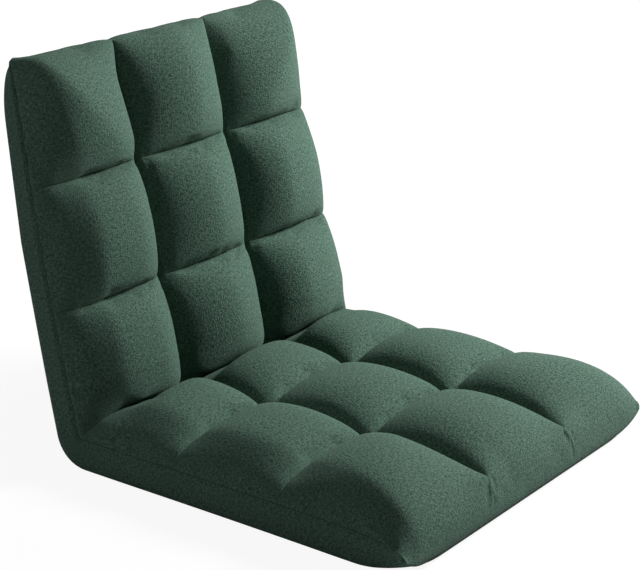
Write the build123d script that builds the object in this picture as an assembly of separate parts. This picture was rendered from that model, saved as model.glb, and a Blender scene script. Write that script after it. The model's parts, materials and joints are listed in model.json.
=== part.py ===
from build123d import *
from dataclasses import dataclass
import math
import os

# A folding floor chair: a quilted seat and a quilted back, each stuffed round a bent steel tube,
# joined by two toothed hinges inside the corner. Millimetres and degrees.
# The seat lies on the floor and runs to -Y. Left is -X and right is +X, seen from the front.

# Outer form
WIDTH = 556.0
SEAT_LENGTH = 488.0
BACK_LENGTH = 470.0
HINGE_HEIGHT = 50.0
SEAM_HEIGHT = 46.0
SEAT_NOSE_SEAM_HEIGHT = 17.0
BACK_NOSE_SEAM_HEIGHT = 34.0
NOSE_LENGTH = 48.0
BACK_NARROWING = 20.0
BACK_BEND_START = 250.0
BACK_BEND = 18.0
LOWER_EDGE_ROUND = 14.0
PLAN_CORNER = 24.0
COVER_THICKNESS = 1.6
SOFT_GAP = 0.3

# Quilting
SEAT_CROWN = 100.0
BACK_CROWN = 102.0
SEAT_CHANNEL_HEIGHT = 71.0
BACK_CHANNEL_HEIGHT = 68.0
CENTRE_COLUMN = 180.0
SEAT_FIRST_CHANNEL = 151.0
SEAT_SECOND_CHANNEL = 310.0
BACK_FIRST_CHANNEL = 160.0
BACK_SECOND_CHANNEL = 316.0
CREASE_REACH = 26.0
PAD_FULLNESS = 2.5
SHOULDER_RUN = 50.0
SHOULDER_DROP = 9.0
WALL_SHARE = 0.35
SIDE_BULGE = 2.0
CHANNEL_CROWN = 1.5
END_LIP = 6.0
SECTION_SHARES = (0.0, 0.06, 0.2, 0.5, 0.8, 0.94, 1.0)

# Inner layers
TUBE_DIAMETER = 19.0
TUBE_WALL = 1.5
TUBE_HEIGHT = 26.0
TUBE_SIDE_INSET = 58.0
TUBE_BEND_RADIUS = 60.0
TUBE_END_INSET = 72.0
CROSS_TUBE_STATION = 165.0
WELD_GAP = 0.25
STRAP_COUNT = 3
STRAP_WIDTH = 44.0
STRAP_THICKNESS = 1.8
STRAP_MARGIN = 6.0
STRAP_GAP = 0.4
CHANNEL_CLEARANCE = 0.5

# Toothed hinge
TOOTH_PITCH = 6.5
REST_STEP = 12
LOCK_STEPS = 14
TIP_RADIUS = 15.5
TOOTH_DEPTH = 2.2
RAMP_SHARE = 0.8
CREST_SHARE = 0.98
HEAD_RADIUS = 22.0
TAIL_RADIUS = 15.0
TAIL_REACH = 84.0
RATCHET_THICKNESS = 4.0
CHEEK_THICKNESS = 2.5
PLATE_GAP = 0.15
PIN_CLEARANCE = 0.05
PIVOT_RADIUS = 5.0
PIVOT_HEAD_RADIUS = 9.0
SMALL_PIN_RADIUS = 3.0
SMALL_HEAD_RADIUS = 5.5
RIVET_HEAD_HEIGHT = 2.2
TONGUE_LENGTH = 40.0
TONGUE_SETBACK = 5.0
TONGUE_PRESS_LENGTH = 38.0
TONGUE_HALF_WIDTH = 13.4
TONGUE_THICKNESS = 4.0
TONGUE_RIVET_SPACING = 20.0
HINGE_SLOT_HALF_WIDTH = 10.5
HINGE_POCKET_CLEARANCE = 1.0
ROLL_CLEARANCE = 1.5

# Pawl and its spring, in the plane of the hinge: along the seat, and up, from the hinge line
NOTCH_ANGLE = -76.0
PAWL_PIVOT_ALONG = 35.0
PAWL_PIVOT_UP = -6.0
PAWL_BOSS_RADIUS = 6.5
PAWL_HEAD_RADIUS = 2.8
PAWL_HEAD_REACH = 4.6
PAWL_TIP_GAP = 0.35
PAWL_SIDE_GAP = 0.6
PAWL_NOSE_SPREAD = 7.0
PAWL_LIFT = 9.0
SPRING_THICKNESS = 0.8
SPRING_PIN_ALONG = 49.0
SPRING_PIN_UP = -20.0
SPRING_PIN_RADIUS = 2.0
SPRING_SAG = 3.0

# Sizes that follow
HINGE_Y = SEAT_LENGTH / 2
REST_FOLD = TOOTH_PITCH * REST_STEP
OPENING = 180.0 - REST_FOLD
ROOT_RADIUS = TIP_RADIUS - TOOTH_DEPTH
ROLL_RADIUS = HEAD_RADIUS + ROLL_CLEARANCE
PAD_BASE = SEAM_HEIGHT + SOFT_GAP
INNER_INSET = COVER_THICKNESS + SOFT_GAP
TUBE_RADIUS = TUBE_DIAMETER / 2
TUBE_TOP = TUBE_HEIGHT + TUBE_RADIUS
STRAP_TOP = TUBE_TOP + STRAP_GAP + STRAP_THICKNESS
CHANNEL_HALF_WIDTH = TUBE_RADIUS + STRAP_GAP + STRAP_THICKNESS + CHANNEL_CLEARANCE
TAIL_UP = TUBE_HEIGHT - HINGE_HEIGHT
TONGUE_MIDDLE = TAIL_REACH - TONGUE_SETBACK
TONGUE_END = TONGUE_MIDDLE + TONGUE_LENGTH / 2
LEG_START = TONGUE_END + TONGUE_PRESS_LENGTH
SEAT_LEG = WIDTH / 2 - TUBE_SIDE_INSET
BACK_LEG = SEAT_LEG - (RATCHET_THICKNESS + TONGUE_THICKNESS) / 2 - PLATE_GAP
CHEEK_OFFSET = (RATCHET_THICKNESS + CHEEK_THICKNESS) / 2 + PLATE_GAP
HINGE_AXIS = Axis((0, HINGE_Y, HINGE_HEIGHT), (1, 0, 0))
SIDES = {"left": -1, "right": 1}


@dataclass
class Half:
    """Sizes in which the seat and the back differ."""
    length: float
    leg: float
    channels: tuple
    crown: float
    channel_height: float
    nose_seam: float
    narrowing: float
    bend: float


SEAT = Half(SEAT_LENGTH, SEAT_LEG, (SEAT_FIRST_CHANNEL, SEAT_SECOND_CHANNEL), SEAT_CROWN,
            SEAT_CHANNEL_HEIGHT, SEAT_NOSE_SEAM_HEIGHT, narrowing=0.0, bend=0.0)
BACK = Half(BACK_LENGTH, BACK_LEG, (BACK_FIRST_CHANNEL, BACK_SECOND_CHANNEL), BACK_CROWN,
            BACK_CHANNEL_HEIGHT, BACK_NOSE_SEAM_HEIGHT, BACK_NARROWING, BACK_BEND)


# Placing. Each half is built flat, running along +Y from the hinge line, with its outer face down.

def as_seat(shape):
    """Turns a half round to run from the hinge line to the front."""
    return Pos(0, HINGE_Y, 0) * Rot(0, 0, 180) * shape


def as_back(shape):
    """Swings a half up about the hinge line to where the back rests."""
    return Pos(0, HINGE_Y, HINGE_HEIGHT) * Rot(REST_FOLD, 0, 0) * Pos(0, 0, -HINGE_HEIGHT) * shape


def side_plane(x):
    """Plane of the hinge at x: first axis along the half, second up, both from the hinge line."""
    return Plane(origin=(x, 0, HINGE_HEIGHT), x_dir=(0, 1, 0), z_dir=(1, 0, 0))


def polar(radius, angle):
    """Point at a radius and an angle from the hinge line, in the plane of the hinge."""
    return radius * math.cos(math.radians(angle)), radius * math.sin(math.radians(angle))


def block(x_low, x_high, y_low, y_high, z_low, z_high):
    """Box between two corners."""
    middle = ((x_low + x_high) / 2, (y_low + y_high) / 2, (z_low + z_high) / 2)
    return Pos(*middle) * Box(x_high - x_low, y_high - y_low, z_high - z_low)


def hinge_roll(radius, x_low, x_high):
    """Cylinder about the hinge line of a flat half, between two places across the chair."""
    return Pos((x_low + x_high) / 2, 0, HINGE_HEIGHT) * Rot(0, 90, 0) * Cylinder(radius, x_high - x_low)


# Cover: a cut and sewn tray under each half, and a strip that bends round the corner

def arc_depth(run, full_run, full_depth):
    """How far an arc has left its tangent after a run, given its depth after the full run."""
    if full_depth == 0 or run <= 0:
        return 0.0
    radius = (full_run ** 2 + full_depth ** 2) / (2 * full_depth)
    return radius - math.sqrt(radius ** 2 - run ** 2)


def side_reach(half, station):
    """Half of the width at a place along the half, which narrows on an arc from the hinge line."""
    return WIDTH / 2 - arc_depth(station, half.length, half.narrowing)


def outer_plan(half, inset, start):
    """Outline of a half seen from above, set in from its outer faces, with rounded far corners."""
    far = half.length - inset
    stations = (start, (start + far) / 2, far)
    right = [(side_reach(half, station) - inset, station) for station in stations]
    left = [(-x, station) for x, station in right]
    sides = [ThreePointArc(*side) if half.narrowing else Line(side[0], side[-1]) for side in (right, left)]
    ends = [Line(left[0], right[0]), Line(left[-1], right[-1])]
    plan = make_face([line.edge() for line in sides + ends])
    return fillet(plan.vertices().group_by(Axis.Y)[-1], PLAN_CORNER - inset)


def behind_bend(half, inset):
    """Space behind the far part of a half, whose outer face bends in on an arc."""
    reach = half.length - BACK_BEND_START
    runs = (0, reach / 2, reach)
    bent = [(BACK_BEND_START + run, inset + arc_depth(run, reach, half.bend)) for run in runs]
    corner = (half.length, -half.length)
    outline = [ThreePointArc(*bent), Polyline(bent[-1], corner, (BACK_BEND_START, -half.length), bent[0])]
    face = make_face([edge for line in outline for edge in line.edges()])
    across = Plane(origin=(0, 0, 0), x_dir=(0, 1, 0), z_dir=(1, 0, 0))
    return extrude(across * face, WIDTH, both=True)


def tray_form(half, inset, top, start):
    """Block with the tray's outline, set in from its outer faces, with rounded lower edges."""
    form = extrude(Pos(0, 0, inset) * outer_plan(half, inset, start), top - inset)
    if half.bend:
        form -= behind_bend(half, inset)
    far = half.length - inset - SOFT_GAP
    floor = [face for face in form.faces() if face.normal_at().Z < -0.5]
    rims = [edge for face in floor for edge in face.edges()
            if edge.center().Y > far or abs(edge.center().X) > PLAN_CORNER]
    return fillet(rims, LOWER_EDGE_ROUND - inset)


def nose_cut(half, clearance):
    """Space at the far end of a half that the last row of quilting fills, above the nose seam."""
    return block(-WIDTH, WIDTH, half.length - NOSE_LENGTH - clearance, 2 * half.length,
                 half.nose_seam - clearance, 2 * WIDTH)


def cover_tray(half):
    """Fabric tray: floor, side walls up to the seam, and a low end wall under the nose."""
    outer = tray_form(half, 0, SEAM_HEIGHT, SOFT_GAP)
    inner = tray_form(half, COVER_THICKNESS, 2 * SEAM_HEIGHT, -SEAM_HEIGHT)
    return outer - inner - nose_cut(half, 0)


def wall_section(inset, top):
    """Cross-section of the tray at the hinge line, set in from its outer faces."""
    height = top - inset
    section = Pos(0, inset + height / 2) * Rectangle(WIDTH - 2 * inset, height)
    return fillet(section.vertices().group_by(Axis.Y)[0], LOWER_EDGE_ROUND - inset)


def corner_cover():
    """The cover's strip round the corner, concentric with the hinge line."""
    section = wall_section(0, SEAM_HEIGHT) - wall_section(COVER_THICKNESS, 2 * SEAM_HEIGHT)
    upright = Plane(origin=(0, HINGE_Y, 0), x_dir=(1, 0, 0), z_dir=(0, -1, 0))
    return revolve(upright * section, HINGE_AXIS, REST_FOLD)


# Foam: a slab cut out for the frame, a sheet over the straps, and a roll in the corner

def hinge_slots(floor):
    """Slots that leave the two hinges and the frame's pressed ends free."""
    slots = [block(side * SEAT_LEG - HINGE_SLOT_HALF_WIDTH, side * SEAT_LEG + HINGE_SLOT_HALF_WIDTH,
                   -LEG_START, LEG_START, floor, 2 * WIDTH) for side in SIDES.values()]
    return slots[0] + slots[1]


def frame_path(half, start):
    """Centre line of the bent tube from a place along both legs, seen from above."""
    far = half.length - TUBE_END_INSET
    corners = [(-half.leg, start), (-half.leg, far), (half.leg, far), (half.leg, start)]
    return FilletPolyline(*corners, radius=TUBE_BEND_RADIUS)


def foam_core(half):
    """Foam slab in the tray, with a channel for the tube and slots for the hinges."""
    core = tray_form(half, INNER_INSET, TUBE_TOP, SOFT_GAP)
    floor = TUBE_HEIGHT - CHANNEL_HALF_WIDTH
    channel = trace(frame_path(half, 0), 2 * CHANNEL_HALF_WIDTH)
    core -= extrude(Pos(0, 0, floor) * channel, WIDTH)
    core -= block(-half.leg, half.leg, CROSS_TUBE_STATION - CHANNEL_HALF_WIDTH,
                  CROSS_TUBE_STATION + CHANNEL_HALF_WIDTH, floor, WIDTH)
    core -= hinge_slots(TUBE_HEIGHT - TAIL_RADIUS - HINGE_POCKET_CLEARANCE)
    core -= hinge_roll(ROLL_RADIUS + SOFT_GAP, -WIDTH, WIDTH)
    return core - nose_cut(half, SOFT_GAP)


def foam_sheet(half):
    """Foam sheet over the straps, up to the seam."""
    bottom = STRAP_TOP + SOFT_GAP
    sheet = tray_form(half, INNER_INSET, SEAM_HEIGHT, SOFT_GAP)
    sheet -= block(-WIDTH, WIDTH, -WIDTH, 2 * half.length, -WIDTH, bottom)
    sheet -= hinge_slots(0)
    sheet -= hinge_roll(ROLL_RADIUS + SOFT_GAP, -WIDTH, WIDTH)
    return sheet - nose_cut(half, SOFT_GAP)


def corner_foam():
    """Foam strip round the hinge line, which fills the corner between the two slabs."""
    upright = Plane(origin=(0, HINGE_Y, 0), x_dir=(1, 0, 0), z_dir=(0, -1, 0))
    wedge = revolve(upright * wall_section(INNER_INSET, HINGE_HEIGHT), HINGE_AXIS, REST_FOLD)
    half_width = WIDTH / 2 - INNER_INSET
    roll = Pos(0, HINGE_Y, 0) * hinge_roll(ROLL_RADIUS, -half_width, half_width)
    return wedge + roll - Pos(0, HINGE_Y, 0) * hinge_slots(-WIDTH)


# Frame: one bent tube in each half, its ends pressed flat, with a cross tube and straps

def pressed_end(x, radius, half_width, half_thickness):
    """Form of a tube end as it is pressed from round to flat."""
    round_plane = Plane(origin=(x, LEG_START, TUBE_HEIGHT), x_dir=(0, 0, 1), z_dir=(0, -1, 0))
    flat_plane = round_plane.offset(TONGUE_PRESS_LENGTH)
    return loft([round_plane * Circle(radius), flat_plane * Ellipse(half_width, half_thickness)])


def frame_tube(half):
    """The bent tube of one half, with two flat tongues drilled for the hinge rivets."""
    path = Pos(0, 0, TUBE_HEIGHT) * frame_path(half, LEG_START)
    start = Plane(origin=path @ 0, z_dir=path % 0)
    bore = TUBE_RADIUS - TUBE_WALL
    tube = sweep(start * Circle(TUBE_RADIUS), path)
    hollow = sweep(start * Circle(bore), path)
    for side in SIDES.values():
        x = side * half.leg
        tongue_plane = Plane(origin=(x, TONGUE_END, TUBE_HEIGHT), x_dir=(0, 0, 1), z_dir=(0, -1, 0))
        tube += pressed_end(x, TUBE_RADIUS, TONGUE_HALF_WIDTH, TONGUE_THICKNESS / 2)
        tube += extrude(tongue_plane * Ellipse(TONGUE_HALF_WIDTH, TONGUE_THICKNESS / 2), TONGUE_LENGTH)
        hollow += pressed_end(x, bore, TONGUE_HALF_WIDTH - TUBE_WALL, TONGUE_THICKNESS / 2 - TUBE_WALL)
    tube -= hollow
    for side in SIDES.values():
        for along in tongue_rivet_places():
            tube -= side_plane(side * half.leg) * Pos(along, TAIL_UP) * Cylinder(
                SMALL_PIN_RADIUS + PIN_CLEARANCE, 2 * TUBE_DIAMETER)
    return tube


def cross_tube(half):
    """Tube welded between the legs near the hinges, its ends cut to sit on them."""
    place = Pos(0, CROSS_TUBE_STATION, TUBE_HEIGHT)
    tube = place * Rot(0, 90, 0) * Cylinder(TUBE_RADIUS, 2 * half.leg)
    tube -= place * Rot(0, 90, 0) * Cylinder(TUBE_RADIUS - TUBE_WALL, 2 * half.leg)
    leg_form = Rot(90, 0, 0) * Cylinder(TUBE_RADIUS + WELD_GAP, 4 * TUBE_DIAMETER)
    for side in SIDES.values():
        tube -= Pos(side * half.leg, 0, 0) * place * leg_form
    return tube


def straps(half):
    """Elastic straps hooked round both legs, spread from the cross tube to the bends."""
    first = CROSS_TUBE_STATION + TUBE_RADIUS + STRAP_MARGIN + STRAP_WIDTH / 2
    last = half.length - TUBE_END_INSET - TUBE_BEND_RADIUS - STRAP_MARGIN - STRAP_WIDTH / 2
    inner = TUBE_RADIUS + STRAP_GAP
    middle = TUBE_HEIGHT + inner + STRAP_THICKNESS / 2
    profile = Pos(0, middle) * Rectangle(2 * half.leg, STRAP_THICKNESS)
    for side in SIDES.values():
        hook = Circle(inner + STRAP_THICKNESS) - Circle(inner)
        hook -= Pos(-side * TUBE_DIAMETER, 0) * Rectangle(2 * TUBE_DIAMETER, 4 * TUBE_DIAMETER)
        profile += Pos(side * half.leg, TUBE_HEIGHT) * hook
    bands = []
    for number in range(STRAP_COUNT):
        station = first + number * (last - first) / (STRAP_COUNT - 1)
        plane = Plane(origin=(0, station, 0), x_dir=(1, 0, 0), z_dir=(0, -1, 0))
        bands.append(extrude(plane * profile, STRAP_WIDTH / 2, both=True))
    return Compound(children=bands)


# Quilting: rows of three stuffed cells, each row a loft through scalloped cross-sections

def fullness(share):
    """Height of a stuffed cell along its length, from 0 at its two channels to 1 in the middle."""
    return (1 - abs(2 * share - 1) ** PAD_FULLNESS) ** (1 / PAD_FULLNESS)


def pad_section(half, station, base, crown, channel):
    """Cross-section of a row: drawn-in walls, rounded shoulders and three arcs over the cells."""
    past_corner = max(0.0, station - (half.length - PLAN_CORNER))
    drawn_in = PLAN_CORNER - math.sqrt(max(0.0, PLAN_CORNER ** 2 - past_corner ** 2))
    side = side_reach(half, station) - drawn_in
    knee = min(PAD_BASE, (base + crown) / 2)
    wall_top = knee + WALL_SHARE * (crown - knee)
    shoulder = max(crown - SHOULDER_DROP, (wall_top + crown) / 2)
    inner = side - SHOULDER_RUN
    groove = CENTRE_COLUMN / 2
    quarter = math.sin(math.radians(45))
    right = [
        ThreePointArc((side, base), (side + SIDE_BULGE, (base + wall_top) / 2), (side, wall_top)),
        ThreePointArc((side, wall_top),
                      (side - SHOULDER_RUN * (1 - quarter), wall_top + quarter * (shoulder - wall_top)),
                      (inner, shoulder)),
        ThreePointArc((inner, shoulder), ((inner + groove) / 2, crown), (groove, channel)),
    ]
    left = [mirror(edge, about=Plane.YZ) for edge in right]
    centre = ThreePointArc((-groove, channel), (0, crown), (groove, channel))
    floor = Line((-side, base), (side, base))
    face = make_face([floor, *[e.edge() for e in right], centre, *[e.edge() for e in left]])
    plane = Plane(origin=(0, station, 0), x_dir=(1, 0, 0), z_dir=(0, -1, 0))
    return plane * face


def crease_limit(station):
    """Height of the plane where the seat and the back press together, at a place along the half."""
    return HINGE_HEIGHT + station * math.tan(math.radians(OPENING / 2)) - SOFT_GAP


def past_crease():
    """Everything beyond the plane where the seat and the back press together."""
    beyond = block(-WIDTH, WIDTH, -SEAT_LENGTH, SEAT_LENGTH, SOFT_GAP / 2, SEAT_LENGTH)
    return Pos(0, 0, HINGE_HEIGHT) * Rot(OPENING / 2, 0, 0) * beyond


def pad_row(half, start, end, at_crease=False, at_nose=False):
    """One row of cells between two channels, the crease or the nose at the half's far end."""
    base = half.nose_seam + SOFT_GAP if at_nose else PAD_BASE
    first = start if at_crease else start + SOFT_GAP / 2
    last = end if at_nose else end - SOFT_GAP / 2
    sections = []
    for share in SECTION_SHARES:
        station = first + share * (last - first)
        low = half.channel_height + CHANNEL_CROWN
        if at_nose and station > (first + last) / 2:
            low = base + END_LIP
        height = low + (half.crown - low) * fullness(share)
        if at_crease:
            height = min(height, crease_limit(station) - CHANNEL_CROWN)
        channel = min(half.channel_height, height - CHANNEL_CROWN)
        sections.append(pad_section(half, station, base, height, channel))
    row = loft(sections)
    if at_nose:
        row -= block(-WIDTH, WIDTH, 0, half.length - NOSE_LENGTH + SOFT_GAP, 0, PAD_BASE)
    if at_crease:
        row -= past_crease()
        row -= hinge_roll(ROLL_RADIUS + SOFT_GAP, -WIDTH, WIDTH)
        pocket = plate_outline(HEAD_RADIUS + HINGE_POCKET_CLEARANCE, TAIL_RADIUS + HINGE_POCKET_CLEARANCE)
        for side in SIDES.values():
            row -= extrude(side_plane(side * SEAT_LEG) * pocket, HINGE_SLOT_HALF_WIDTH, both=True)
    return row


def pad_rows(half):
    """The three rows of one half, from the crease to the nose."""
    crease = CREASE_REACH * math.cos(math.radians(OPENING / 2))
    first, second = half.channels
    return [
        pad_row(half, crease, first, at_crease=True),
        pad_row(half, first, second),
        pad_row(half, second, half.length, at_nose=True),
    ]


# Toothed hinge

def plate_outline(head, tail):
    """Straight-sided link from the round head at the hinge line to the tail on the tube."""
    circles = [Circle(head), Pos(TAIL_REACH, TAIL_UP) * Circle(tail)]
    return make_hull([circle.edge() for circle in circles])


def tongue_rivet_places():
    """Places along the half of the two rivets through a tongue."""
    return TONGUE_MIDDLE - TONGUE_RIVET_SPACING / 2, TONGUE_MIDDLE + TONGUE_RIVET_SPACING / 2


def hole(along, up, radius):
    """Round hole in a hinge plate, with the clearance of a pin."""
    return Pos(along, up) * Circle(radius + PIN_CLEARANCE)


def cheek_plate(x):
    """Seat-side plate of a hinge, with holes for the pivot, pawl, spring and frame rivets."""
    outline = plate_outline(HEAD_RADIUS, TAIL_RADIUS)
    outline -= hole(0, 0, PIVOT_RADIUS)
    outline -= hole(PAWL_PIVOT_ALONG, PAWL_PIVOT_UP, SMALL_PIN_RADIUS)
    outline -= hole(SPRING_PIN_ALONG, SPRING_PIN_UP, SPRING_PIN_RADIUS)
    for along in tongue_rivet_places():
        outline -= hole(along, TAIL_UP, SMALL_PIN_RADIUS)
    return extrude(side_plane(x) * outline, CHEEK_THICKNESS / 2, both=True)


def notch_angle(step):
    """Angle of a notch when the back rests, from the seat's direction up."""
    return NOTCH_ANGLE + (step - REST_STEP) * TOOTH_PITCH


def ratchet_arm(x):
    """Back-side arm of a hinge: a disc of saw teeth and a link to the back's tube."""
    outline = plate_outline(ROOT_RADIUS, TAIL_RADIUS)
    for step in range(-1, LOCK_STEPS):
        corner_angles = [notch_angle(step + share) for share in (0, RAMP_SHARE, CREST_SHARE, 1)]
        radii = (ROOT_RADIUS, TIP_RADIUS, TIP_RADIUS, ROOT_RADIUS)
        tooth = [polar(radius, OPENING - angle) for radius, angle in zip(radii, corner_angles)]
        outline += make_face(Polyline((0, 0), *tooth, close=True))
    outline -= hole(0, 0, PIVOT_RADIUS)
    for along in tongue_rivet_places():
        outline -= hole(along, TAIL_UP, SMALL_PIN_RADIUS)
    return extrude(side_plane(x) * outline, RATCHET_THICKNESS / 2, both=True)


def pawl(x):
    """Toothed catch between the cheeks, lifted clear of the ratchet."""
    tip_angle = NOTCH_ANGLE + PAWL_SIDE_GAP
    head_reach = TIP_RADIUS + PAWL_HEAD_REACH
    head_along, head_up = polar(head_reach, NOTCH_ANGLE + PAWL_NOSE_SPREAD / 2)
    boss = Pos(PAWL_PIVOT_ALONG, PAWL_PIVOT_UP) * Circle(PAWL_BOSS_RADIUS)
    head = Pos(head_along, head_up) * Circle(PAWL_HEAD_RADIUS)
    outline = make_hull([boss.edge(), head.edge()])
    outline += make_face(Polyline(polar(ROOT_RADIUS + PAWL_TIP_GAP, tip_angle),
                                  polar(head_reach, tip_angle),
                                  polar(head_reach, NOTCH_ANGLE + PAWL_NOSE_SPREAD), close=True))
    outline -= hole(PAWL_PIVOT_ALONG, PAWL_PIVOT_UP, SMALL_PIN_RADIUS)
    lifted = Pos(PAWL_PIVOT_ALONG, PAWL_PIVOT_UP) * Rot(0, 0, PAWL_LIFT) * Pos(
        -PAWL_PIVOT_ALONG, -PAWL_PIVOT_UP) * outline
    return extrude(side_plane(x) * lifted, RATCHET_THICKNESS / 2, both=True)


def pawl_spring(x):
    """Leaf spring: an eye round its pin and a bowed blade that lies under the pawl."""
    lifted_angle = NOTCH_ANGLE + PAWL_NOSE_SPREAD / 2
    head_along, head_up = polar(TIP_RADIUS + PAWL_HEAD_REACH, lifted_angle)
    lift = math.radians(PAWL_LIFT)
    arm_along = head_along - PAWL_PIVOT_ALONG
    arm_up = head_up - PAWL_PIVOT_UP
    tip_along = PAWL_PIVOT_ALONG + arm_along * math.cos(lift) - arm_up * math.sin(lift)
    tip_up = PAWL_PIVOT_UP + arm_along * math.sin(lift) + arm_up * math.cos(lift)
    under = PAWL_HEAD_RADIUS + SOFT_GAP + SPRING_THICKNESS
    eye = SPRING_PIN_RADIUS + PIN_CLEARANCE + SPRING_THICKNESS
    root = (SPRING_PIN_ALONG, SPRING_PIN_UP - eye)
    end = (tip_along, tip_up - under)
    bow = ((root[0] + end[0]) / 2, (root[1] + end[1]) / 2 - SPRING_SAG)
    lower = ThreePointArc(root, bow, end)
    upper = Pos(0, SPRING_THICKNESS) * lower
    ends = [Line(lower @ 0, upper @ 0), Line(lower @ 1, upper @ 1)]
    blade = make_face([lower.edge(), upper.edge(), *[line.edge() for line in ends]])
    blade += Pos(SPRING_PIN_ALONG, SPRING_PIN_UP) * Circle(eye)
    blade -= hole(SPRING_PIN_ALONG, SPRING_PIN_UP, SPRING_PIN_RADIUS)
    return extrude(side_plane(x) * blade, RATCHET_THICKNESS / 2, both=True)


def rivet(along, up, x_low, x_high, radius, head_radius):
    """Rivet across a hinge, with a low domed head against each outer face."""
    dome = (head_radius ** 2 + RIVET_HEAD_HEIGHT ** 2) / (2 * RIVET_HEAD_HEIGHT)
    half_turn = math.asin(head_radius / dome) / 2
    rise = RIVET_HEAD_HEIGHT - dome * (1 - math.cos(half_turn))
    out = dome * math.sin(half_turn)
    low, high = x_low - PLATE_GAP, x_high + PLATE_GAP
    outline = [
        Line((low - RIVET_HEAD_HEIGHT, 0), (high + RIVET_HEAD_HEIGHT, 0)),
        ThreePointArc((low - RIVET_HEAD_HEIGHT, 0), (low - rise, out), (low, head_radius)),
        Polyline((low, head_radius), (low, radius), (high, radius), (high, head_radius)),
        ThreePointArc((high, head_radius), (high + rise, out), (high + RIVET_HEAD_HEIGHT, 0)),
    ]
    body = revolve(make_face([edge for line in outline for edge in line.edges()]), Axis.X, 360)
    return Pos(0, along, HINGE_HEIGHT + up) * body


# The assembly

NODES = {}

for half_name, half, place, tray_name, row_names in (
    ("seat", SEAT, as_seat, "bottom", ("rear", "middle", "front")),
    ("back", BACK, as_back, "rear", ("lower", "middle", "upper")),
):
    NODES[f"{half_name}_{tray_name}_cover"] = place(cover_tray(half))
    NODES[f"{half_name}_foam_core"] = place(foam_core(half))
    NODES[f"{half_name}_foam_sheet"] = place(foam_sheet(half))
    NODES[f"{half_name}_frame_tube"] = place(frame_tube(half))
    NODES[f"{half_name}_cross_tube"] = place(cross_tube(half))
    NODES[f"{half_name}_straps"] = place(straps(half))
    for row_name, row in zip(row_names, pad_rows(half)):
        NODES[f"{half_name}_{row_name}_row"] = place(row)

NODES["corner_cover"] = corner_cover()
NODES["corner_foam"] = corner_foam()

seat_rivets = []
back_rivets = []
for side_name, side in SIDES.items():
    x = -side * SEAT_LEG
    outer = CHEEK_OFFSET + CHEEK_THICKNESS / 2
    NODES[f"{side_name}_outer_cheek"] = as_seat(cheek_plate(x - side * CHEEK_OFFSET))
    NODES[f"{side_name}_inner_cheek"] = as_seat(cheek_plate(x + side * CHEEK_OFFSET))
    NODES[f"{side_name}_ratchet_arm"] = as_back(ratchet_arm(-x))
    NODES[f"{side_name}_pawl"] = as_seat(pawl(x))
    NODES[f"{side_name}_pawl_spring"] = as_seat(pawl_spring(x))
    NODES[f"{side_name}_pivot_rivet"] = as_seat(
        rivet(0, 0, x - outer, x + outer, PIVOT_RADIUS, PIVOT_HEAD_RADIUS))
    NODES[f"{side_name}_pawl_rivet"] = as_seat(
        rivet(PAWL_PIVOT_ALONG, PAWL_PIVOT_UP, x - outer, x + outer, SMALL_PIN_RADIUS, SMALL_HEAD_RADIUS))
    NODES[f"{side_name}_spring_rivet"] = as_seat(
        rivet(SPRING_PIN_ALONG, SPRING_PIN_UP, x - outer, x + outer, SPRING_PIN_RADIUS, SMALL_HEAD_RADIUS))
    arm_outer = side * (SEAT_LEG + RATCHET_THICKNESS / 2)
    arm_inner = side * (BACK_LEG - TONGUE_THICKNESS / 2)
    for along in tongue_rivet_places():
        seat_rivets.append(rivet(along, TAIL_UP, x - outer, x + outer, SMALL_PIN_RADIUS, SMALL_HEAD_RADIUS))
        back_rivets.append(rivet(along, TAIL_UP, min(arm_outer, arm_inner), max(arm_outer, arm_inner),
                                 SMALL_PIN_RADIUS, SMALL_HEAD_RADIUS))
NODES["seat_frame_rivets"] = as_seat(Compound(children=seat_rivets))
NODES["back_frame_rivets"] = as_back(Compound(children=back_rivets))

os.makedirs("parts", exist_ok=True)
for name, shape in NODES.items():
    export_step(shape, f"parts/{name}.step")
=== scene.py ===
import json
import math
import bpy
import bmesh
import numpy as np
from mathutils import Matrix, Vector


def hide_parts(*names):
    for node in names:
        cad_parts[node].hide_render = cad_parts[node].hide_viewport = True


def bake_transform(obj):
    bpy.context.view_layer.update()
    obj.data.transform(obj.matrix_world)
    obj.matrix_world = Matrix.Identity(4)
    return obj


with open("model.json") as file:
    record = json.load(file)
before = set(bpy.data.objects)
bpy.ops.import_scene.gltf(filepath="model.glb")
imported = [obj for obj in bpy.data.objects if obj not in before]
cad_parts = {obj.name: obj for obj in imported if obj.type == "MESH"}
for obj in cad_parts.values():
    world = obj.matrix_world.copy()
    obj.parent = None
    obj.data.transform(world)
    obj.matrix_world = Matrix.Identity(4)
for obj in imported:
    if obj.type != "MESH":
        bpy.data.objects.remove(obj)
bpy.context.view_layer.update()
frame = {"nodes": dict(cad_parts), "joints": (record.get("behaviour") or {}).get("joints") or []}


# The two bent frames: a round tube in the seat and one in the back, each with a cross tube welded between its legs.
# Mild steel, powder coated black. The coat has a fine orange-peel skin and is a little greyer in broad patches.
def start_material(name):
    """A new material with its node tree and its Principled shader."""
    material = bpy.data.materials.new(name)
    material.use_nodes = True
    return material, material.node_tree, material.node_tree.nodes["Principled BSDF"]


def dress(material, *names):
    """Gives CAD nodes their finish."""
    for name in names:
        slots = frame["nodes"][name].data.materials
        slots.clear()
        slots.append(material)


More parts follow.
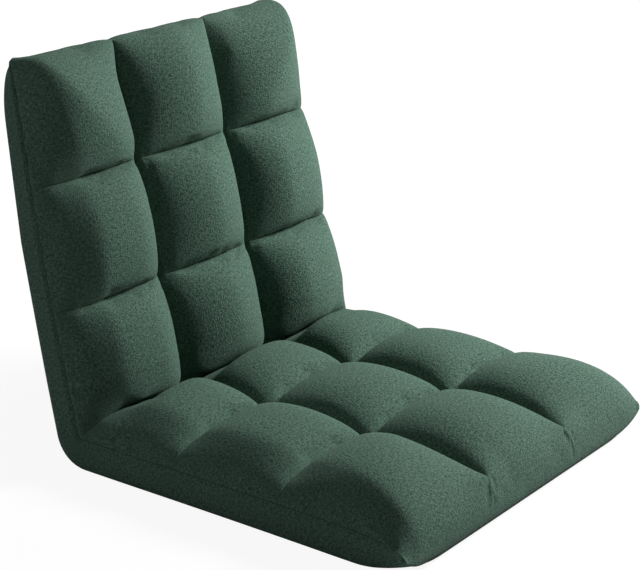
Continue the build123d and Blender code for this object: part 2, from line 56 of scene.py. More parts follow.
def surface_grain_group():
    """Noise in the piece's own space, drawn out by Stretch: fine Grain, and broad Patches of the same kind."""
    group = bpy.data.node_groups.new("surface_grain", "ShaderNodeTree")
    face = group.interface
    face.new_socket("Scale", in_out="INPUT", socket_type="NodeSocketFloat")
    face.new_socket("Stretch", in_out="INPUT", socket_type="NodeSocketVector")
    face.new_socket("Grain", in_out="OUTPUT", socket_type="NodeSocketFloat")
    face.new_socket("Patches", in_out="OUTPUT", socket_type="NodeSocketFloat")
    made, join = group.nodes.new, group.links.new
    given, out = made("NodeGroupInput"), made("NodeGroupOutput")
    place, drawn = made("ShaderNodeTexCoord"), made("ShaderNodeVectorMath")
    drawn.operation = "MULTIPLY"
    join(place.outputs["Object"], drawn.inputs[0])
    join(given.outputs["Stretch"], drawn.inputs[1])
    fine, broad = made("ShaderNodeTexNoise"), made("ShaderNodeTexNoise")
    fine.inputs["Detail"].default_value = 3.0
    broad.inputs["Scale"].default_value = 38.0
    join(drawn.outputs[0], fine.inputs["Vector"])
    join(given.outputs["Scale"], fine.inputs["Scale"])
    join(place.outputs["Object"], broad.inputs["Vector"])
    join(fine.outputs["Fac"], out.inputs["Grain"])
    join(broad.outputs["Fac"], out.inputs["Patches"])
    return group


surface_grain = surface_grain_group()


def grained(name, dark, light, rough, scale, stretch, bump, metallic):
    """Finish whose colour runs from dark to light over its patches, with grain in its gloss and its relief."""
    material, tree, shader = start_material(name)
    made, join = tree.nodes.new, tree.links.new
    grain = made("ShaderNodeGroup")
    grain.node_tree = surface_grain
    grain.inputs["Scale"].default_value = scale
    grain.inputs["Stretch"].default_value = stretch
    colour, gloss, relief = made("ShaderNodeMix"), made("ShaderNodeMapRange"), made("ShaderNodeBump")
    colour.data_type = "RGBA"
    colour.inputs["A"].default_value = (*dark, 1)
    colour.inputs["B"].default_value = (*light, 1)
    gloss.inputs["To Min"].default_value, gloss.inputs["To Max"].default_value = rough
    relief.inputs["Strength"].default_value = bump
    relief.inputs["Distance"].default_value = 0.0002
    join(grain.outputs["Patches"], colour.inputs["Factor"])
    join(grain.outputs["Grain"], gloss.inputs["Value"])
    join(grain.outputs["Grain"], relief.inputs["Height"])
    join(colour.outputs["Result"], shader.inputs["Base Color"])
    join(gloss.outputs["Result"], shader.inputs["Roughness"])
    join(relief.outputs["Normal"], shader.inputs["Normal"])
    shader.inputs["Metallic"].default_value = metallic
    return material


dress(grained("black_frame_coat", dark=(0.012, 0.012, 0.013), light=(0.035, 0.035, 0.036), rough=(0.32, 0.52),
              scale=900.0, stretch=(1, 1, 1), bump=0.25, metallic=0.0),
      "seat_frame_tube", "back_frame_tube", "seat_cross_tube", "back_cross_tube")


# The toothed hinges: blanked steel cheeks on the seat, toothed arms on the back, and a pawl between each pair of
# cheeks. The plates are zinc plated with a brushed look, the springs are blued strip, and the rivets turned and bright.
dress(grained("plated_hinge_steel", dark=(0.42, 0.42, 0.44), light=(0.60, 0.60, 0.61), rough=(0.24, 0.48),
              scale=160.0, stretch=(1, 1, 22), bump=0.15, metallic=1.0),
      *[f"{side}_{piece}" for side in ("left", "right")
        for piece in ("outer_cheek", "inner_cheek", "ratchet_arm", "pawl")])
dress(grained("blued_spring_strip", dark=(0.10, 0.12, 0.17), light=(0.20, 0.22, 0.27), rough=(0.22, 0.40),
              scale=240.0, stretch=(18, 1, 1), bump=0.1, metallic=1.0),
      "left_pawl_spring", "right_pawl_spring")
dress(grained("bright_rivet_steel", dark=(0.55, 0.55, 0.56), light=(0.70, 0.70, 0.70), rough=(0.18, 0.36),
              scale=420.0, stretch=(6, 1, 1), bump=0.1, metallic=1.0),
      *[f"{side}_{piece}_rivet" for side in ("left", "right") for piece in ("pivot", "pawl", "spring")],
      "seat_frame_rivets", "back_frame_rivets")


# The elastic straps: flat black webbing hooked over both legs of each tube, so that the middle of the chair gives.
# Woven from thick yarns across and along the strap, with a dull nap.
def woven_yarn_group():
    """Plain weave over a flat Coordinate in metres. Fleck is noise drawn out along two sets of yarns, so that single
    yarns differ in shade. Height adds to it the yarns' own Roundness, a sine across each set."""
    group = bpy.data.node_groups.new("woven_yarn", "ShaderNodeTree")
    face = group.interface
    face.new_socket("Coordinate", in_out="INPUT", socket_type="NodeSocketVector")
    face.new_socket("Yarns", in_out="INPUT", socket_type="NodeSocketFloat")
    face.new_socket("Roundness", in_out="INPUT", socket_type="NodeSocketFloat")
    face.new_socket("Fleck", in_out="OUTPUT", socket_type="NodeSocketFloat")
    face.new_socket("Height", in_out="OUTPUT", socket_type="NodeSocketFloat")
    made, join = group.nodes.new, group.links.new
    given, out = made("NodeGroupInput"), made("NodeGroupOutput")
    scaled, parts = made("ShaderNodeVectorMath"), made("ShaderNodeSeparateXYZ")
    scaled.operation = "SCALE"
    join(given.outputs["Coordinate"], scaled.inputs[0])
    join(given.outputs["Yarns"], scaled.inputs["Scale"])
    join(scaled.outputs[0], parts.inputs[0])
    heights, flecks = [], []
    for across, drawn_out in (("X", (1.0, 0.4, 1.0)), ("Y", (0.4, 1.0, 1.0))):
        turn, yarn = made("ShaderNodeMath"), made("ShaderNodeMath")
        turn.operation, yarn.operation = "MULTIPLY", "SINE"
        turn.inputs[1].default_value = math.pi
        join(parts.outputs[across], turn.inputs[0])
        join(turn.outputs[0], yarn.inputs[0])
        heights.append(yarn.outputs[0])
        drawn, shade = made("ShaderNodeVectorMath"), made("ShaderNodeTexNoise")
        drawn.operation = "MULTIPLY"
        drawn.inputs[1].default_value = drawn_out
        shade.inputs["Scale"].default_value = 0.62
        shade.inputs["Detail"].default_value = 3.0
        shade.inputs["Roughness"].default_value = 0.62
        join(scaled.outputs[0], drawn.inputs[0])
        join(drawn.outputs[0], shade.inputs["Vector"])
        flecks.append(shade.outputs["Fac"])
    over, fleck, spread = made("ShaderNodeMath"), made("ShaderNodeMath"), made("ShaderNodeMapRange")
    over.operation, fleck.operation = "MULTIPLY", "ADD"
    join(heights[0], over.inputs[0])
    join(heights[1], over.inputs[1])
    join(flecks[0], fleck.inputs[0])
    join(flecks[1], fleck.inputs[1])
    spread.inputs["From Min"].default_value = 0.81
    spread.inputs["From Max"].default_value = 1.19
    join(fleck.outputs[0], spread.inputs["Value"])
    raised = made("ShaderNodeMath")
    raised.operation = "MULTIPLY_ADD"
    join(over.outputs[0], raised.inputs[0])
    join(given.outputs["Roundness"], raised.inputs[1])
    join(spread.outputs["Result"], raised.inputs[2])
    join(spread.outputs["Result"], out.inputs["Fleck"])
    join(raised.outputs[0], out.inputs["Height"])
    return group


woven_yarn = woven_yarn_group()

webbing, tree, shader = start_material("black_webbing")
made, join = tree.nodes.new, tree.links.new
place, parts, crosswise, flat = (made("ShaderNodeTexCoord"), made("ShaderNodeSeparateXYZ"), made("ShaderNodeMath"),
                                 made("ShaderNodeCombineXYZ"))
weave, colour, relief = made("ShaderNodeGroup"), made("ShaderNodeMix"), made("ShaderNodeBump")
weave.node_tree = woven_yarn
weave.inputs["Yarns"].default_value = 700.0
weave.inputs["Roundness"].default_value = 1.0
colour.data_type = "RGBA"
colour.inputs["A"].default_value = (0.010, 0.010, 0.011, 1)
colour.inputs["B"].default_value = (0.055, 0.055, 0.058, 1)
relief.inputs["Strength"].default_value = 0.5
relief.inputs["Distance"].default_value = 0.0004
shader.inputs["Roughness"].default_value = 0.85
join(place.outputs["Object"], parts.inputs[0])
join(parts.outputs["Y"], crosswise.inputs[0])
join(parts.outputs["Z"], crosswise.inputs[1])
join(parts.outputs["X"], flat.inputs["X"])
join(crosswise.outputs[0], flat.inputs["Y"])
join(flat.outputs[0], weave.inputs["Coordinate"])
join(weave.outputs["Fleck"], colour.inputs["Factor"])
join(weave.outputs["Height"], relief.inputs["Height"])
join(colour.outputs["Result"], shader.inputs["Base Color"])
join(relief.outputs["Normal"], shader.inputs["Normal"])
dress(webbing, "seat_straps", "back_straps")


# The quilted cushion: one stuffed L of heathered green chenille over foam, right round the seat, the corner and the
# back. Its top is sewn through to the foam along channels, three cells by three on each half. A side seam joins it to
# the plain cover underneath, and at the front and the top the two meet in a knife edge.
joint = frame["joints"][0]
hinge_y, hinge_z = joint["pos_m"][1], joint["pos_m"][2]
fold = -math.radians(joint["range_deg"][0])
bisector = (math.pi - fold) / 2

half_width = 0.278
centre_half = 0.090
outer_crest = 0.168
seam_height = 0.046
lower_round = 0.016
crease_height = 0.068
centre_count, outer_count = 24, 60
side_count = centre_count + outer_count


def swell(t, power):
    """Height of a superellipse of half width 1 and height 1."""
    return np.clip(1 - np.abs(t) ** power, 0, 1) ** (1 / power)


def bell(t):
    """Bell curve of height 1, e to the power of minus t squared."""
    return np.exp(-t ** 2)


def ramp(t):
    """Straight rise from 0 at 0 to 1 at 1, and level outside."""
    return np.clip(t, 0, 1)


def ease_off(t):
    """Half a cosine wave, from 1 at 0 down to 0 at 1, and level outside."""
    return (1 + np.cos(math.pi * ramp(t))) / 2


def eased(count, share):
    """Steps from 0 to 1, closer together at both ends by a share of a cosine."""
    t = np.linspace(0, 1, count + 1)
    return (1 - share) * t + share * (1 - np.cos(math.pi * t)) / 2


def run_along(points):
    """Length of a line of points up to each of them, the distances between neighbours added up."""
    return np.concatenate([[0], np.cumsum(np.linalg.norm(np.diff(points, axis=0), axis=1))])


def row_stations(crease, hug, first, second, turn_over, roll, belly):
    """Stations from the crease to the edge seam, each with its rise, drop and push. Between two channels the rise is a
    superellipse from 0 to 1 to 0, whose side at the crease has a power of its own, hug. Past the last crest the reach
    and the drop are the two sides of a superellipse that ends on the edge seam. The reach is full once the drop is down
    to the share belly, and the push, which bulges the nose, is greatest there."""
    row_power, last_row_power, drop_power, reach_power = 2.15, 2.2, 2.3, 2.2
    last_row_count, nose_count = 26, 40
    stations, rises = [], []
    for low, high, count in ((crease, first, 48), (first, second, 44)):
        s = low + (high - low) * eased(count, 0.8)[:-1]
        stations.append(s)
        t = 2 * (s - low) / (high - low) - 1
        rises.append(np.where((t < 0) & (low == crease), swell(t, hug), swell(t, row_power)))
    s = second + (turn_over - second) * (1 - np.cos(np.linspace(0, math.pi / 2, last_row_count)))[:-1]
    stations.append(s)
    rises.append(swell((turn_over - s) / (turn_over - second), last_row_power))
    angle = np.linspace(0, math.pi / 2, nose_count)
    drop = np.cos(angle) ** (2 / drop_power)
    drop[-1] = 0
    reach = np.where(drop > belly, swell((np.maximum(drop, belly) - belly) / (1 - belly), reach_power), 1)
    stations.append(turn_over + roll * reach)
    rises.append(np.ones_like(angle))
    push = np.where(drop > belly, reach ** 2, 1 - ((belly - drop) / belly) ** 2)
    before = np.zeros(sum(map(len, stations)) - len(angle))
    return (np.concatenate(stations)[:, None], np.concatenate(rises)[:, None],
            np.concatenate([before + 1, drop])[:, None], np.concatenate([before, push])[:, None])


def sewn_half(lean_side, length, channels, crown, channel, dome, hug, press, roll, bulge, belly, rim, tip, fade, notch,
              ear, tip_round, far_crest, taper, thin, lean_top, seam_dip, tuck):
    """One half of the cushion in its own frame (x across, s from the hinge line, n up from the outer face), as a grid
    of closed cross-sections from the crease to the far edge. Across, a section is a dome over the middle cell and a
    dome whose shoulder rolls over to the side seam. The shoulder is a superellipse, mixed by lean_side with a ridge,
    the softened lesser of a nearly level top and a straight flank. Along, the domes swell up from the channels and sink
    back. Past the last crest the section shrinks onto the edge seam. Near the hinge line the sections lean onto the
    plane that halves the corner, shifted by press just past the crease, and the cover fans round the hinge line."""
    crease = (crease_height - hinge_z) / math.tan(bisector)
    turn_over = length - roll
    s, rise, shrink, push = row_stations(crease, hug, *channels, turn_over, roll, belly)
    upper_from = 0.53
    share = ramp(s / length)
    upper = ramp((share - upper_from) / (1 - upper_from))
    seam = seam_height - seam_dip * np.sin(math.pi * share)

    crest_shift, crest_run = 0.012, 0.125
    centre_x = centre_half * np.sin(np.linspace(0, math.pi / 2, centre_count + 1))
    outer_x = centre_half + (half_width - centre_half) * eased(outer_count, 1.0)
    across = np.concatenate([centre_x[:-1], outer_x])[None]
    outward = ramp((s - length + crest_run) / crest_run)
    crest = outer_crest - crest_shift * rise + (far_crest - outer_crest) * outward
    over = ramp((across - crest) / (half_width - crest))

    top_fall, top_run, flank_slope, knee, shoulder_power = 0.10, 0.525, 2.0, 0.05, 1.9
    top, flank = 1 - top_fall * (over / top_run) ** 2, flank_slope * (1 - over)
    ridge = np.minimum(top, flank) - knee * np.log1p(np.exp(-np.abs(top - flank) / knee))
    shoulder = lean_side * ridge + (1 - lean_side) * swell(over, shoulder_power)
    thinned = lean_top * upper
    shoulder = np.maximum((1 - thinned) * shoulder + thinned * ease_off(over), 0)

    crease_reach, groove_depth, arch_rise = 0.025, 0.014, 0.003
    inside = np.where(across < centre_half, across / centre_half, (crest - across) / (crest - centre_half))
    trough = channel + (crease_height - channel) * bell((s - crease) / crease_reach)
    drawn = trough - groove_depth
    full = np.where(across < crest, drawn + (crown - drawn) * swell(inside, dome), seam + (crown - seam) * shoulder)
    arch = arch_rise * ramp(1 - (across / centre_half) ** 2)
    groove_reach, groove_lean, groove_power = 0.236, 0.044, 1.7
    groove_end = groove_reach - groove_lean * lean_side
    groove = 1 - ramp((across - groove_end) / (half_width - groove_end)) ** groove_power
    sewn = full - groove * np.maximum(full - trough - arch, 0)
    n = sewn + rise * (full - sewn)

    valley_depth, valley_reach, valley_from, valley_fade = 0.015, 0.014, 0.130, 0.070
    n = n - valley_depth * bell((s - crease) / valley_reach) * ease_off((across - valley_from) / valley_fade)
    tuft_depth, tuft_reach = 0.004, 0.013
    for line in (crease, *channels):
        n = n - tuft_depth * np.exp(-((across - centre_half) ** 2 + (s - line) ** 2) / tuft_reach ** 2)
    filled_width, filled_short = 0.06, 0.006
    faded = ramp((1 - shrink) / fade)
    n = n + faded * np.exp(-((across - centre_half) / filled_width) ** 4) * np.maximum(crown - filled_short - n, 0)

    waist, tip_in, notch_reach = 0.002, 0.4, 0.02
    edge_x = np.concatenate([np.linspace(0, centre_half, centre_count + 1)[:-1],
                             np.linspace(centre_half, half_width, outer_count + 1)])[None]
    spread = (1 - shrink) ** 2

    def gathered(x, n, rim_x):
        """Shrinks a section onto its edge seam, and draws its sides in along the half. High powers of the distance
        across lift the seam's tips and stand them out, a circle rounds them, and a bell pulls each groove in."""
        out = rim_x / half_width
        rim_n = rim + (tip - rim) * out ** 12
        x = x + (rim_x - tip_in * tip_round * out ** 30 - x) * spread
        x = x - (taper * share ** 2 + waist * np.sin(math.pi * share)) * (x / half_width) ** 3
        past = np.clip(rim_x - half_width + tip_round, 0, tip_round)
        tips = ear * out ** 8 - tip_round + np.sqrt(tip_round ** 2 - past ** 2)
        pulled = tips - notch * bell((rim_x - centre_half) / notch_reach)
        return x, s + pulled * spread, rim_n + (n - rim_n) * shrink

    side_pull, pull_height, pull_from, pull_run = 0.014, 0.030, 0.190, 0.040
    spared, spared_reach = 0.8, 0.03
    pulled_in = ramp((full - seam) / pull_height) * ramp((across - pull_from) / pull_run)
    pulled_in = pulled_in * (1 - spared * bell((s - crease) / spared_reach))
    quilt_x, quilt_s, quilt_n = gathered(across - side_pull * (1 - rise) * pulled_in, n, edge_x)
    quilt_s = quilt_s + bulge * push * (1 - (edge_x / half_width) ** 6)

    bend_count, closer_at_seam = 60, 1.4
    bend = np.linspace(0, math.pi / 2, bend_count)
    rounded = np.stack([half_width - lower_round * (1 - np.cos(bend)), lower_round * (1 - np.sin(bend))], 1)
    outline = np.concatenate([[[half_width, seam_height]], rounded, [[0, 0]]])
    run = run_along(outline)
    at = run[-1] * np.linspace(0, 1, side_count + 1)[None] ** closer_at_seam
    plain_x, plain_n = np.interp(at, run, outline[:, 0]), np.interp(at, run, outline[:, 1])
    up_wall = ramp((plain_n - lower_round) / (seam_height - lower_round))
    plain_n = plain_n + (seam - seam_height) * up_wall + thin * upper * (1 - plain_n / seam_height)
    tuck_run, tuck_from = 0.068, 0.225
    corner = ramp((s - length + tuck_run) / tuck_run) ** 2 * ramp((plain_x - tuck_from) / (half_width - tuck_from)) ** 2
    plain_n = plain_n + tuck * corner * (1 - up_wall)
    cover_x, cover_s, cover_n = gathered(plain_x + 0 * s, plain_n, edge_x[:, ::-1])

    lean_from, fan_from = 0.070, 0.6
    lean = ramp((lean_from - s) / (lean_from - crease))
    bent = lean > 0
    straight = ramp(1 - lean / fan_from) * lean_from
    turn = ramp((lean - fan_from) / (1 - fan_from)) * fold / 2
    below = hinge_z - cover_n
    cover_s = np.where(bent, straight - below * np.sin(turn), cover_s)
    cover_n = np.where(bent, hinge_z - below * np.cos(turn), cover_n)

    low_reach, low_from, low_run = 0.014, 0.225, 0.03
    on_plane = (quilt_n - hinge_z) / math.tan(bisector)
    low = ramp(1 - (quilt_n - seam) / low_reach) * bent * ramp((across - low_from) / low_run)
    seam_gap = hinge_z - seam
    base_s = s + lean * (-seam_gap / math.tan(bisector) - crease)
    near_reach, to_peak = 0.020, 2.33
    press_from_n, press_rise, press_from_x, press_fade = 0.066, 0.010, 0.195, 0.040
    near = (s - crease) / near_reach
    pressed = ramp((quilt_n - press_from_n) / press_rise) * ease_off((across - press_from_x) / press_fade)
    quilt_s = quilt_s + press * to_peak * near * bell(near) * pressed
    quilt_s = quilt_s + lean * (on_plane - crease) + low * (straight - seam_gap * np.sin(turn) - base_s)
    quilt_n = quilt_n + low * (hinge_z - seam_gap * np.cos(turn) - seam)

    seam_pull, seam_reach = 0.0034, 0.0032
    quilt_x = quilt_x - seam_pull * bell((full - seam) / seam_reach) * (across > crest) * shrink
    cover_x = cover_x - seam_pull * bell(at / seam_reach) * shrink
    on_line, free_run, least = 1e-6, 0.05, 0.08
    sewn_down = np.maximum((rise < on_line) * groove, (np.abs(across - centre_half) < on_line) * (1 - faded))
    sewn_down[:, -1:] = 1
    sewn_down[-1:] = 1
    loose = np.clip((s - crease) / free_run, least, 1) * np.clip(1.6 * shrink, least, 1) * ramp(0.3 + 1.4 * rise)

    def ring(quilt, cover, sign):
        """Closes each section: the quilted top from left to right, then the cover back from right to left."""
        return np.concatenate([sign * quilt[:, :0:-1], quilt, cover[:, 1:], sign * cover[:, -2:0:-1]], 1)

    grid = np.stack([ring(quilt_x, cover_x, -1), ring(quilt_s, cover_s, 1), ring(quilt_n, cover_n, 1)], 2)
    return grid, ring(sewn_down, np.ones_like(cover_x), 1), loose


seat_form = dict(
    length=0.488, channels=(0.151, 0.310),     # stations of the edge seam and of the two channels
    crown=0.101, channel=0.064,                # heights of the cells and of the channels
    dome=2.3, hug=2.0, press=0.012,            # roundness across a cell and beside the crease, and the shift there
    roll=0.104, bulge=0.006, belly=0.20,       # length of the nose, its bulge, and how low in its drop that is
    rim=0.006, tip=0.030, fade=0.38,           # heights of the edge seam and its tips, and where the grooves end
    notch=0.000, ear=0.004, tip_round=0.004,   # edge drawn in at the grooves, and its tips standing out and rounded
    far_crest=0.235, taper=0.000, thin=0.000,  # crest at the edge, narrowing, and the rear cover coming forward
    lean_top=0.0, seam_dip=0.000, tuck=0.030)  # softer shoulder at the top, dip of the side seam, lift of the corners
back_form = dict(
    length=0.470, channels=(0.160, 0.316), crown=0.104, channel=0.061, dome=1.6, hug=3.0, press=-0.015,
    roll=0.080, bulge=0.004, belly=0.30, rim=0.030, tip=0.040, fade=0.70, notch=0.005, ear=0.011, tip_round=0.026,
    far_crest=0.262, taper=0.020, thin=0.018, lean_top=0.3, seam_dip=0.006, tuck=0.012)
side_leans = 0.7, 0.0
left_seat, right_seat = (sewn_half(lean_side, **seat_form) for lean_side in side_leans)
left_back, right_back = (sewn_half(lean_side, **back_form) for lean_side in side_leans)
on_left = np.abs(np.arange(4 * side_count) - 2 * side_count) > side_count
seat_half = np.where(on_left[None, :, None], left_seat[0], right_seat[0])
back_half = np.where(on_left[None, :, None], left_back[0], right_back[0])
seat_sewn, seat_loose, back_sewn, back_loose = left_seat[1], left_seat[2], left_back[1], left_back[2]
seat_grid = np.stack([seat_half[..., 0], hinge_y - seat_half[..., 1], seat_half[..., 2]], 2)
settle = 0.007
back_s = back_half[..., 1]
back_n = back_half[..., 2] - hinge_z - settle * (np.maximum(back_s, 0) / back_form["length"]) ** 2
back_grid = np.stack([back_half[..., 0], hinge_y + back_s * math.cos(fold) - back_n * math.sin(fold),
                      hinge_z + back_s * math.sin(fold) + back_n * math.cos(fold)], 2)
cushion_grid = np.concatenate([seat_grid[::-1], back_grid[1:]])
sewn_down = np.concatenate([seat_sewn[::-1], back_sewn[1:]])
loose = np.concatenate([seat_loose[::-1], back_loose[1:]])


def ring_faces(rows, ring_count):
    """Quads of a grid of closed rings."""
    row, spot = np.meshgrid(np.arange(rows - 1), np.arange(ring_count), indexing="ij")
    beside = (spot + 1) % ring_count
    return np.stack([row * ring_count + spot, row * ring_count + beside,
                     (row + 1) * ring_count + beside, (row + 1) * ring_count + spot], 2).reshape(-1, 4)


def stuffed(grid, held, most, most_along):
    """Lets the cover swell: every second point of the grid becomes a cloth that is held where it is sewn down, cut a
    little too large, and blown up for a few frames. The movement, kept under a limit, is spread over the whole grid."""
    coarse, holds = grid[::2, ::2], held[::2, ::2]
    shell = bpy.data.meshes.new("shell")
    shell.from_pydata(coarse.reshape(-1, 3), [], ring_faces(*coarse.shape[:2]).tolist())
    trial = bpy.data.objects.new("shell", shell)
    bpy.context.scene.collection.objects.link(trial)
    group = trial.vertex_groups.new(name="sewn")
    for level in np.unique(np.round(holds, 2)):
        group.add(np.flatnonzero(np.round(holds.ravel(), 2) == level).tolist(), float(level), "REPLACE")
    cloth = trial.modifiers.new("cloth", "CLOTH")
    cloth.settings.quality = 4
    cloth.settings.vertex_group_mass = "sewn"
    cloth.settings.pin_stiffness = 1.0
    cloth.settings.effector_weights.gravity = 0.0
    cloth.settings.use_pressure = True
    cloth.settings.uniform_pressure_force = 4.0
    cloth.settings.shrink_min = -0.012
    cloth.settings.bending_stiffness = 1.5
    cloth.settings.air_damping = 3.0
    cloth.point_cache.frame_end = 24
    blown_frames = 18
    for moment in range(1, blown_frames + 1):
        bpy.context.scene.frame_set(moment)
    settled = trial.evaluated_get(bpy.context.evaluated_depsgraph_get()).to_mesh()
    moved = np.empty(len(settled.vertices) * 3, np.float32)
    settled.vertices.foreach_get("co", moved)
    bpy.data.objects.remove(trial)
    bpy.data.meshes.remove(shell)
    bpy.context.scene.frame_set(1)
    moved = moved.reshape(coarse.shape) - coarse
    reach = np.linalg.norm(moved, axis=2, keepdims=True)
    moved = moved * most * np.tanh(reach / most) / np.maximum(reach, 1e-9)
    wide = np.empty((coarse.shape[0], grid.shape[1], 3))
    wide[:, ::2] = moved
    wide[:, 1::2] = (moved + np.roll(moved, -1, 1)) / 2
    spread = np.empty_like(grid)
    spread[::2] = wide
    spread[1::2] = (wide[:-1] + wide[1:]) / 2
    return grid + spread * most_along[..., None]


cushion_grid = stuffed(cushion_grid, sewn_down, most=0.006, most_along=loose)

rows, ring_count = cushion_grid.shape[:2]
faces = ring_faces(rows, ring_count)
crest_row = 24
round_run = run_along(np.concatenate([seat_grid[crest_row], seat_grid[crest_row, :1]]))
cut_pieces = []
for middle in (cushion_grid[:, side_count], cushion_grid[:, 3 * side_count]):
    cloth = np.stack(np.meshgrid(round_run, run_along(middle)), 2)
    cut_pieces.append(np.stack([cloth[:-1, :-1], cloth[:-1, 1:], cloth[1:, 1:], cloth[1:, :-1]], 2))
corner_cloth = np.where(np.arange(ring_count)[None, :, None, None] < 2 * side_count, *cut_pieces).reshape(-1, 2)

mesh = bpy.data.meshes.new("quilted_cushion")
mesh.from_pydata(cushion_grid.reshape(-1, 3), [], faces.tolist())
mesh.uv_layers.new(name="cloth").data.foreach_set("uv", corner_cloth.astype(np.float32).ravel())
# Painted shade: marks the side seams and the edge seams at the front and the top, where the fabric's colour is darkened
# to near black to stand in for the shade in the sewn grooves.
seam_shade_mask = np.zeros((rows, ring_count), np.float32)
seam_shade_mask[:, [0, 2 * side_count]] = 1
seam_shade_mask[[0, -1]] = 1
mesh.attributes.new("seam", "FLOAT", "POINT").data.foreach_set("value", seam_shade_mask.ravel())
welder = bmesh.new()
welder.from_mesh(mesh)
bmesh.ops.remove_doubles(welder, verts=welder.verts, dist=0.00002)
bmesh.ops.recalc_face_normals(welder, faces=welder.faces)
welder.to_mesh(mesh)
welder.free()
mesh.polygons.foreach_set("use_smooth", np.ones(len(mesh.polygons), bool))
cushion = bpy.data.objects.new("quilted_cushion", mesh)
bpy.context.scene.collection.objects.link(cushion)

chenille, tree, shader = start_material("heathered_green_chenille")
made, join = tree.nodes.new, tree.links.new
cloth_place, weave, nap = made("ShaderNodeUVMap"), made("ShaderNodeGroup"), made("ShaderNodeTexNoise")
shade, brushed, relief = made("ShaderNodeMix"), made("ShaderNodeMix"), made("ShaderNodeBump")
nap_range = made("ShaderNodeMapRange")
cloth_place.uv_map = "cloth"
weave.node_tree = woven_yarn
weave.inputs["Yarns"].default_value = 900.0
weave.inputs["Roundness"].default_value = 0.12
nap.inputs["Scale"].default_value = 16.0
nap.inputs["Detail"].default_value = 4.0
nap_range.inputs["To Min"].default_value = 0.0
nap_range.inputs["To Max"].default_value = 0.35
shade.data_type = "RGBA"
shade.inputs["A"].default_value = (0.020, 0.050, 0.035, 1)
shade.inputs["B"].default_value = (0.122, 0.208, 0.160, 1)
brushed.data_type = "RGBA"
brushed.inputs["B"].default_value = (0.045, 0.088, 0.066, 1)
relief.inputs["Strength"].default_value = 0.55
relief.inputs["Distance"].default_value = 0.0007
shader.inputs["Roughness"].default_value = 0.92
shader.inputs["Specular IOR Level"].default_value = 0.15
shader.inputs["Sheen Weight"].default_value = 0.06
shader.inputs["Sheen Roughness"].default_value = 0.45
shader.inputs["Sheen Tint"].default_value = (0.55, 0.70, 0.62, 1)
join(cloth_place.outputs["UV"], weave.inputs["Coordinate"])
join(cloth_place.outputs["UV"], nap.inputs["Vector"])
join(nap.outputs["Fac"], nap_range.inputs["Value"])
join(weave.outputs["Fleck"], shade.inputs["Factor"])
join(shade.outputs["Result"], brushed.inputs["A"])
join(nap_range.outputs["Result"], brushed.inputs["Factor"])
# Painted shade along the seams: the fabric's colour is mixed towards near black where the seam attribute is set.
seam, seam_painted_shade = made("ShaderNodeAttribute"), made("ShaderNodeMix")
seam.attribute_name = "seam"
seam_painted_shade.data_type = "RGBA"
seam_painted_shade.inputs["B"].default_value = (0.008, 0.018, 0.013, 1)
join(seam.outputs["Fac"], seam_painted_shade.inputs["Factor"])
join(brushed.outputs["Result"], seam_painted_shade.inputs["A"])
join(seam_painted_shade.outputs["Result"], shader.inputs["Base Color"])
join(weave.outputs["Height"], relief.inputs["Height"])
join(relief.outputs["Normal"], shader.inputs["Normal"])
mesh.materials.append(chenille)

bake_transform(cushion)
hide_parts("seat_bottom_cover", "seat_rear_row", "seat_middle_row", "seat_front_row", "corner_cover",
            "back_rear_cover", "back_lower_row", "back_middle_row", "back_upper_row", "seat_foam_core",
            "seat_foam_sheet", "back_foam_core", "back_foam_sheet", "corner_foam")


# The studio: a plain pale floor that the camera sees nearly white, a soft lamp high on the right of the front, a weak
# one behind on the left, and faint light from all round. The camera stands where the photograph was taken from.
floor_reach = 8
floor_mesh = bpy.data.meshes.new("studio_floor")
floor_mesh.from_pydata([(-floor_reach, -floor_reach, 0), (floor_reach, -floor_reach, 0), (floor_reach, floor_reach, 0),
                        (-floor_reach, floor_reach, 0)], [], [(0, 1, 2, 3)])
floor = bpy.data.objects.new("studio_floor", floor_mesh)
bpy.context.scene.collection.objects.link(floor)
paper, tree, shader = start_material("pale_paper")
made, join = tree.nodes.new, tree.links.new
shader.inputs["Base Color"].default_value = (0.6, 0.6, 0.6, 1)
shader.inputs["Roughness"].default_value = 0.9
seen, white, paler, out = (made("ShaderNodeLightPath"), made("ShaderNodeEmission"), made("ShaderNodeMixShader"),
                           tree.nodes["Material Output"])
place, away, fade, share = (made("ShaderNodeTexCoord"), made("ShaderNodeVectorMath"), made("ShaderNodeMapRange"),
                            made("ShaderNodeMath"))
away.operation, share.operation = "LENGTH", "MULTIPLY"
fade.inputs["From Min"].default_value, fade.inputs["From Max"].default_value = 0.5, 1.5
fade.inputs["To Min"].default_value, fade.inputs["To Max"].default_value = 0.85, 1.0
white.inputs["Strength"].default_value = 1.08
join(place.outputs["Object"], away.inputs[0])
join(away.outputs["Value"], fade.inputs["Value"])
join(seen.outputs["Is Camera Ray"], share.inputs[0])
join(fade.outputs["Result"], share.inputs[1])
join(share.outputs[0], paler.inputs["Fac"])
join(shader.outputs[0], paler.inputs[1])
join(white.outputs[0], paler.inputs[2])
join(paler.outputs[0], out.inputs["Surface"])
floor_mesh.materials.append(paper)

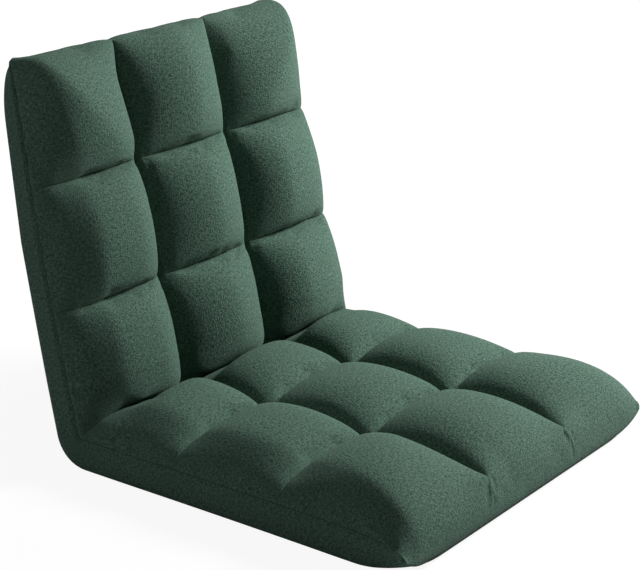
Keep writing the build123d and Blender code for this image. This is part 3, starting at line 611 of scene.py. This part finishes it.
world = bpy.data.worlds.new("studio_light")
world.use_nodes = True
bpy.context.scene.world = world
tree = world.node_tree
made, join = tree.nodes.new, tree.links.new
seen, level = made("ShaderNodeLightPath"), made("ShaderNodeMix")
also, either = made("ShaderNodeMath"), made("ShaderNodeMath")
also.operation = either.operation = "MAXIMUM"
join(seen.outputs["Is Camera Ray"], also.inputs[0])
join(seen.outputs["Is Glossy Ray"], also.inputs[1])
join(also.outputs[0], either.inputs[0])
join(seen.outputs["Is Transmission Ray"], either.inputs[1])
level.inputs["A"].default_value = 0.014
level.inputs["B"].default_value = 1.0
join(either.outputs[0], level.inputs["Factor"])
join(level.outputs["Result"], tree.nodes["Background"].inputs["Strength"])
tree.nodes["Background"].inputs["Color"].default_value = (1, 1, 1, 1)

for name, place, aim, size, power in (("key", (1.58, -0.82, 1.41), (0.0, 0.1, 0.2), 0.6, 81.0),
                                      ("rear_left", (-1.3, 1.0, 1.3), (0.0, 0.25, 0.3), 0.6, 5.0)):
    lamp = bpy.data.lights.new(name, "AREA")
    lamp.size = size
    lamp.energy = power
    lamp_object = bpy.data.objects.new(name, lamp)
    lamp_object.location = place
    lamp_object.rotation_euler = (Vector(aim) - Vector(place)).to_track_quat("-Z", "Y").to_euler()
    bpy.context.scene.collection.objects.link(lamp_object)

camera_turn, camera_rise, camera_reach = math.radians(-53.12), math.radians(19.08), 2.6626
camera_aim = Vector((0.2022, hinge_y - 0.0152, 0.1223))
toward = Vector((math.sin(camera_turn) * math.cos(camera_rise), -math.cos(camera_turn) * math.cos(camera_rise),
                 math.sin(camera_rise)))
lens = bpy.data.cameras.new("camera")
lens.lens = 104.97
lens.sensor_width = 36.0
lens.sensor_fit = "HORIZONTAL"
camera = bpy.data.objects.new("camera", lens)
camera.location = camera_aim + camera_reach * toward
camera.rotation_euler = (-toward).to_track_quat("-Z", "Y").to_euler()
bpy.context.scene.collection.objects.link(camera)
bpy.context.scene.camera = camera
bpy.context.scene.view_settings.view_transform = "Standard"
